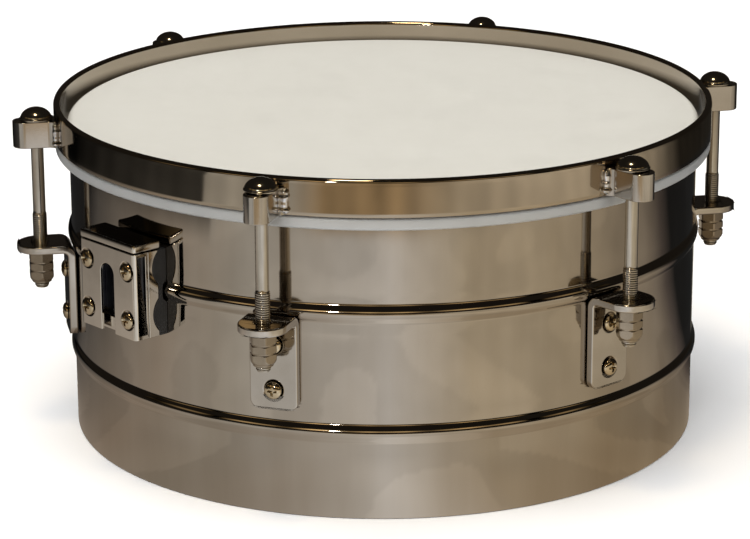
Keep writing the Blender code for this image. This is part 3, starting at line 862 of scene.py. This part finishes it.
def add_floor():
    """A round pale floor that curves up into a wall, seen by the camera and by soft light only."""
    made, tree, shader = new_material("pale_floor", 0.0)
    faint = ranged(tree, noise(tree, 1.5, 2.0), 0.0, 1.0)
    paint = blended(tree, faint, (0.93, 0.93, 0.93), (0.91, 0.91, 0.91))
    link(tree, paint, shader.inputs["Base Color"])
    shader.inputs["Roughness"].default_value = 0.9
    shader.inputs["Specular IOR Level"].default_value = 0.0
    profile = [(1.0, 0.0), (3000.0, 0.0), (5000.0, 0.0)] + arc((5000.0, 1500.0), 1500.0, -90.0, 0.0, 16)
    profile += [(6500.0, 4000.0), (6510.0, 4000.0), (6510.0, -10.0), (1.0, -10.0)]
    floor = stage_object("floor", smooth(new_mesh("floor", turned(profile, 96))), made)
    floor.visible_glossy = False


def reflected_only(obj):
    obj.visible_camera = False
    obj.visible_diffuse = False
    obj.visible_shadow = False
    obj.visible_transmission = False


def between(marks, place):
    """Straight-line interpolation in a list of (place, tone) marks, held constant past each end."""
    if place <= marks[0][0]:
        return Vector(marks[0][1])
    for (start, first), (end, second) in zip(marks, marks[1:]):
        if place <= end:
            return Vector(first).lerp(Vector(second), (place - start) / (end - start))
    return Vector(marks[-1][1])


# Painted reflection: tone of the glowing table by azimuth in degrees, at arm's length from the drum:
# pale in front, tan to the right, grey to the left, and painted shade behind.
PAINTED_REFLECTION_TONES = (
    (-116.0, (0.02, 0.02, 0.02)),
    (-108.0, (0.12, 0.11, 0.10)),
    (-64.0, (0.49, 0.43, 0.37)),
    (-40.0, (0.59, 0.56, 0.51)),
    (5.0, (0.92, 0.90, 0.88)),
    (28.0, (0.77, 0.675, 0.525)),
    (58.0, (0.66, 0.56, 0.41)),
    (98.0, (0.36, 0.31, 0.25)),
    (108.0, (0.12, 0.10, 0.09)),
    (115.0, (0.02, 0.02, 0.02)),
)
# Straight behind the drum, where the wall never mirrors it to the camera, the table is lit again.
BEHIND = Vector((0.62, 0.56, 0.48))
# Beyond this distance from the axis, in mm, the table ends: grey to the left, then wood, then tan.
TABLE_EDGE = 690.0
FAR_LEFT = Vector((0.56, 0.54, 0.50))
WOOD = Vector((0.50, 0.37, 0.22))
FAR_RIGHT = Vector((0.66, 0.58, 0.46))
# The glow in front: a band of lit room behind the viewer.
GLOW_R = 3000.0
GLOW_LOW, GLOW_HIGH = 750.0, 1500.0
WARM = Vector((1.7, 1.2, 0.6))


def ramp(value, start, end):
    return min(1.0, max(0.0, (value - start) / (end - start)))


def painted_reflection_tone(azimuth, radius):
    """Painted reflection at one point of the table: mottled in clouds, painted shade near the drum,
    wood past its edge.
    """
    turn = math.radians(azimuth)
    along, front = radius * math.sin(turn), radius * math.cos(turn)
    lit_again = ramp(-front, 60.0, 120.0) * ramp(185.0 - 0.2 * front - abs(along), 0.0, 70.0)
    tone = between(PAINTED_REFLECTION_TONES, azimuth).lerp(BEHIND, lit_again)
    place = Vector((along, front, 0.0)) * MM
    # Clouds of painted reflection, mottling what the metal mirrors.
    cloud = 0.13 * mottle.noise(place * 7.0) + 0.07 * mottle.noise(place * 23.0)
    leaf = mottle.noise(Vector((azimuth / 26.0, radius / 160.0, 4.0)))
    cloud += 0.06 if leaf > 0.05 else -0.05
    near = math.exp(-((radius - 178.0) / 95.0) ** 2) * (1.0 - math.exp(-((azimuth - 5.0) / 16.0) ** 2))
    shaded = Vector([share * (1.0 - deep * near) for share, deep in zip(tone, (0.26, 0.31, 0.36))])
    far = ramp(radius, TABLE_EDGE - (60.0 if azimuth < -50.0 else 0.0), TABLE_EDGE + 40.0)
    grain = 1.0 + 0.35 * mottle.noise(Vector((azimuth / 5.0, 0.0, 9.0)))
    wood = FAR_LEFT.lerp(WOOD, ramp(azimuth, -24.0, -14.0)).lerp(FAR_RIGHT, ramp(azimuth, 8.0, 26.0))
    # Painted shade darkens the wood far to the left.
    wood *= (0.12 if azimuth < -52.0 else 1.0) * min(1.0, tone.x / 0.6) * grain
    return shaded.lerp(wood, far) * (1.0 + cloud)


def glowing(name):
    """Light of each mesh's own tone, for pieces of the room that only the metal sees."""
    made = bpy.data.materials.new(name)
    made.use_nodes = True
    tree = made.node_tree
    tree.nodes.clear()
    output = tree.nodes.new("ShaderNodeOutputMaterial")
    light = tree.nodes.new("ShaderNodeEmission")
    tone = tree.nodes.new("ShaderNodeVertexColor")
    tone.layer_name = "tone"
    link(tree, tone.outputs["Color"], light.inputs["Color"])
    link(tree, light.outputs["Emission"], output.inputs["Surface"])
    return made


def glowing_sheet(name, columns):
    """A sheet of (point in mm, tone) columns, seen only in reflections."""
    rows = len(columns[0])
    faces = []
    for i in range(len(columns) - 1):
        for k in range(rows - 1):
            here = i * rows + k
            faces.append((here, here + 1, here + rows + 1, here + rows))
    points = [point for column in columns for point, _ in column]
    tones = [(*tone, 1.0) for column in columns for _, tone in column]
    mesh = new_mesh(name, (points, faces))
    layer = mesh.color_attributes.new("tone", "FLOAT_COLOR", "POINT")
    layer.data.foreach_set("color", [value for tone in tones for value in tone])
    reflected_only(stage_object(name, mesh, glowing(name)))


def add_reflections():
    """Painted reflections for the polished metal: a glowing table top mottled in clouds, and a warm
    patchy glow above it in front.
    """
    table = []
    for i in range(361):
        azimuth = i - 180.0
        angle = math.radians(azimuth)
        column = []
        for k in range(131):
            radius = 150.0 + 850.0 * k / 130.0 if k < 130 else 4000.0
            point = (radius * math.sin(angle), -radius * math.cos(angle), 0.3)
            column.append((point, painted_reflection_tone(azimuth, radius)))
        table.append(column)
    glowing_sheet("painted_reflection_table", table)
    glow = []
    for i in range(181):
        azimuth = i - 90.0
        angle = math.radians(azimuth)
        patch = 0.55 + 1.5 * mottle.noise(Vector((azimuth / 13.0, 3.0, 1.0)))
        strength = max(0.0, patch) * (1.0 - abs(azimuth) / 95.0)
        column = []
        for k, share in enumerate((0.0, 1.0, 1.0, 0.0)):
            level = GLOW_LOW + (GLOW_HIGH - GLOW_LOW) * k / 3.0
            point = (GLOW_R * math.sin(angle), -GLOW_R * math.cos(angle), level)
            column.append((point, WARM * strength * share))
        glow.append(column)
    glowing_sheet("warm_glow", glow)


def add_lamp(name, kind, energy, colour, place, aim=(0.0, 0.0, 0.1), size=1.0, reflected=True):
    data = bpy.data.lights.new(name, kind)
    data.energy = energy
    data.color = colour
    if kind == "AREA":
        data.shape = "DISK"
        data.size = size
    else:
        data.angle = size
    made = bpy.data.objects.new(name, data)
    made.location = place
    made.rotation_euler = (Vector(aim) - Vector(place)).to_track_quat("-Z", "Y").to_euler()
    made.visible_camera = False
    made.visible_glossy = reflected
    bpy.context.scene.collection.objects.link(made)


def add_light():
    add_lamp("soft_sky", "SUN", 3.5, (1.0, 1.0, 1.0), (-0.4, -0.7, 3.0),
             size=math.radians(70.0), reflected=False)
    add_lamp("warm_lamp", "AREA", 9.0, (1.0, 0.78, 0.48), (-0.22, -0.62, 2.3), size=0.36)
    add_lamp("front_lamp", "AREA", 5.0, (1.0, 0.97, 0.92), (-0.66, -2.75, 0.95), size=0.16)
    world = bpy.data.worlds.new("dim_room")
    world.use_nodes = True
    world.node_tree.nodes["Background"].inputs["Color"].default_value = (0.018, 0.015, 0.012, 1.0)
    bpy.context.scene.world = world
    bpy.context.scene.view_settings.view_transform = "Standard"


add_camera()
add_turned_pieces()
add_tuning_hardware()
add_stand_mount()
add_floor()
add_reflections()
add_light()
